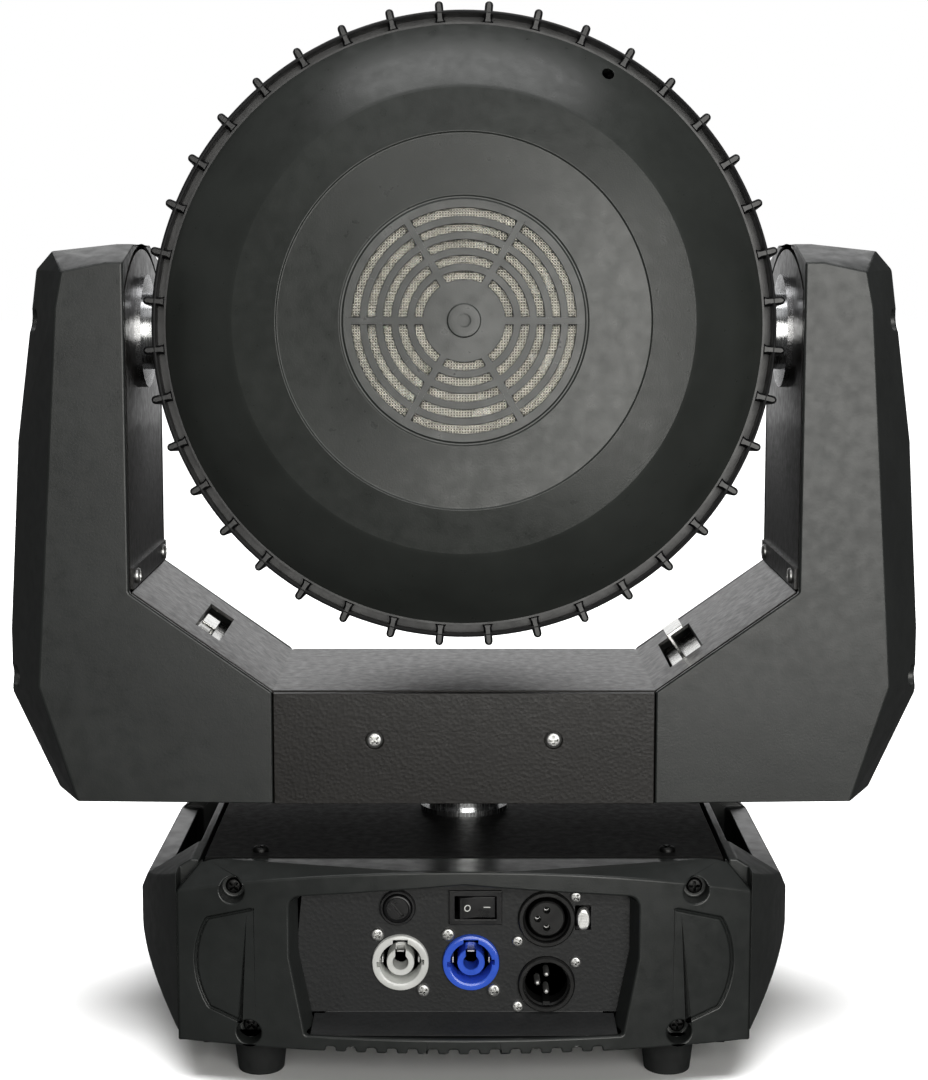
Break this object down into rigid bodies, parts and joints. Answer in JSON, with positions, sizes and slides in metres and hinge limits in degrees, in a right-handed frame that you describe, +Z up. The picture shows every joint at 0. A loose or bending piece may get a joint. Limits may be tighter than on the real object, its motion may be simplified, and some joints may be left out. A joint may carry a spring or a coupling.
{
  "type": "moving head light",
  "caption": "Moving head wash light: a box base with connectors and carrying handles, a belt-driven pan yoke and a round tilting head with lenses in front and a fan grille behind.",
  "frame": {"origin": "on the floor under the pan axis, at the middle of the four feet", "axes": "+Z up along the pan axis, -Y towards the connector panel, +Y towards the display and the way the light points at rest, X along the tilt axis"},
  "size_m": [0.4, 0.23, 0.4486],
  "materials": {
    "cover_plastic": "fine-grained moulded shell, satin",
    "head_plastic": "fine-grained moulded shell, satin",
    "ring_plastic": "moulded, matt",
    "frame_sheet": "semi-gloss powder coat",
    "base_sheet": "semi-matt powder coat",
    "panel_sheet": "matt powder coat",
    "foot_rubber": "matt",
    "belt_rubber": "matt",
    "blue_plastic": "gloss",
    "white_plastic": "gloss",
    "socket_plastic": "satin",
    "switch_plastic": "satin",
    "latch_steel": "stamped and plated",
    "lock_steel": "nickel-plated sheet",
    "turned_aluminium": "turned",
    "cast_aluminium": "extruded, plain",
    "bearing_steel": "ground",
    "plated_screw": "zinc-plated",
    "black_screw": "black oxide",
    "wire_mesh": "woven stainless wire",
    "motor_metal": "laminated steel and black lacquer",
    "can_steel": "galvanised",
    "circuit_board": "solder mask",
    "led_white": "white solder mask",
    "fan_plastic": "satin",
    "lens_acrylic": "clear moulded acrylic",
    "display_glass": "gloss window",
    "button_plastic": "satin"
  },
  "bodies": {
    "base": {"base_chassis": "base_sheet", "base_top_plate": "base_sheet", "rear_bezel": "cover_plastic", "front_bezel": "cover_plastic", "handle_left": "cover_plastic", "handle_right": "cover_plastic", "rubber_feet": "foot_rubber", "connector_panel": "panel_sheet", "power_in_socket": "blue_plastic", "power_out_socket": "white_plastic", "data_in_socket": "socket_plastic", "data_out_socket": "socket_plastic", "fuse_holder": "switch_plastic", "switch_housing": "switch_plastic", "display_module": "display_glass", "power_supply": "can_steel", "main_board": "circuit_board", "pan_tube": "turned_aluminium", "pan_pulley": "cast_aluminium", "safety_eye": "can_steel", "base_screws": "black_screw", "panel_screws": "plated_screw"},
    "yoke": {"yoke_floor_plate": "base_sheet", "yoke_top_sheet": "frame_sheet", "arm_plate_left": "frame_sheet", "arm_plate_right": "frame_sheet", "arm_cover_left": "cover_plastic", "arm_cover_right": "cover_plastic", "cross_covers": "frame_sheet", "pan_bearing": "bearing_steel", "tilt_bearings": "bearing_steel", "pan_motor": "motor_metal", "pan_belt": "belt_rubber", "tilt_motor": "motor_metal", "tilt_belt": "belt_rubber", "yoke_screws": "plated_screw"},
    "head": {"head_ring": "ring_plastic", "rear_cover": "head_plastic", "fan_mesh": "wire_mesh", "centre_cap": "head_plastic", "fan_frame": "fan_plastic", "heat_sink": "cast_aluminium", "led_board": "led_white", "lens_plate": "ring_plastic", "lenses": "lens_acrylic", "front_ring": "ring_plastic", "trunnion_tubes": "turned_aluminium", "tilt_pulley": "cast_aluminium"},
    "data_latch": {"data_latch": "latch_steel"},
    "fuse_cap": {"fuse_cap": "switch_plastic"},
    "switch_rocker": {"switch_rocker": "switch_plastic"},
    "menu_button_1": {"menu_button_1": "button_plastic"},
    "menu_button_2": {"menu_button_2": "button_plastic"},
    "menu_button_3": {"menu_button_3": "button_plastic"},
    "menu_button_4": {"menu_button_4": "button_plastic"},
    "pan_pinion": {"pan_pinion": "cast_aluminium"},
    "tilt_pinion": {"tilt_pinion": "cast_aluminium"},
    "tilt_lock_tab": {"tilt_lock_tab": "lock_steel"},
    "pan_lock_tab": {"pan_lock_tab": "lock_steel"},
    "fan_rotor": {"fan_rotor": "fan_plastic"}
  },
  "joints": [
    {"name": "pan", "type": "hinge", "parent": "base", "child": "yoke", "pos_m": [0, 0, 0.107], "axis": [0, 0, 1], "range_deg": [-270, 270]},
    {"name": "tilt", "type": "hinge", "parent": "yoke", "child": "head", "pos_m": [0, 0, 0.309], "axis": [1, 0, 0], "range_deg": [-40, 229]},
    {"name": "pan_drive", "type": "hinge", "parent": "yoke", "child": "pan_pinion", "pos_m": [0.127, 0, 0.124], "axis": [0, 0, 1], "range_deg": [-1080, 1080]},
    {"name": "tilt_drive", "type": "hinge", "parent": "yoke", "child": "tilt_pinion", "pos_m": [-0.154, 0, 0.231], "axis": [1, 0, 0], "range_deg": [-146, 831]},
    {"name": "fan_spin", "type": "hinge", "parent": "head", "child": "fan_rotor", "pos_m": [0, 0, 0.309], "axis": [0, -0.9969, 0.0785], "continuous": true},
    {"name": "tilt_lock", "type": "slide", "parent": "yoke", "child": "tilt_lock_tab", "axis": [-0.8151, 0, -0.5793], "range_m": [0, 0.004]},
    {"name": "pan_lock", "type": "slide", "parent": "yoke", "child": "pan_lock_tab", "axis": [0.8151, 0, -0.5793], "range_m": [0, 0.004]},
    {"name": "switch_press", "type": "hinge", "parent": "base", "child": "switch_rocker", "pos_m": [0.0048, -0.0935, 0.074], "axis": [0, 0, 1], "range_deg": [-18, 0]},
    {"name": "fuse_cap_turn", "type": "hinge", "parent": "base", "child": "fuse_cap", "pos_m": [-0.0275, -0.095, 0.074], "axis": [0, 1, 0], "range_deg": [0, 90]},
    {"name": "latch_press", "type": "slide", "parent": "base", "child": "data_latch", "axis": [0, 1, 0], "range_m": [0, 0.0012], "stiffness_N_per_m": 300},
    {"name": "menu_press_1", "type": "slide", "parent": "base", "child": "menu_button_1", "axis": [0, -1, 0], "range_m": [0, 0.0008], "stiffness_N_per_m": 400},
    {"name": "menu_press_2", "type": "slide", "parent": "base", "child": "menu_button_2", "axis": [0, -1, 0], "range_m": [0, 0.0008], "stiffness_N_per_m": 400},
    {"name": "menu_press_3", "type": "slide", "parent": "base", "child": "menu_button_3", "axis": [0, -1, 0], "range_m": [0, 0.0008], "stiffness_N_per_m": 400},
    {"name": "menu_press_4", "type": "slide", "parent": "base", "child": "menu_button_4", "axis": [0, -1, 0], "range_m": [0, 0.0008], "stiffness_N_per_m": 400}
  ],
  "couplings": [
    {"joint": "pan_drive", "follows": "pan", "ratio": -4},
    {"joint": "tilt_drive", "follows": "tilt", "ratio": 3.625}
  ]
}
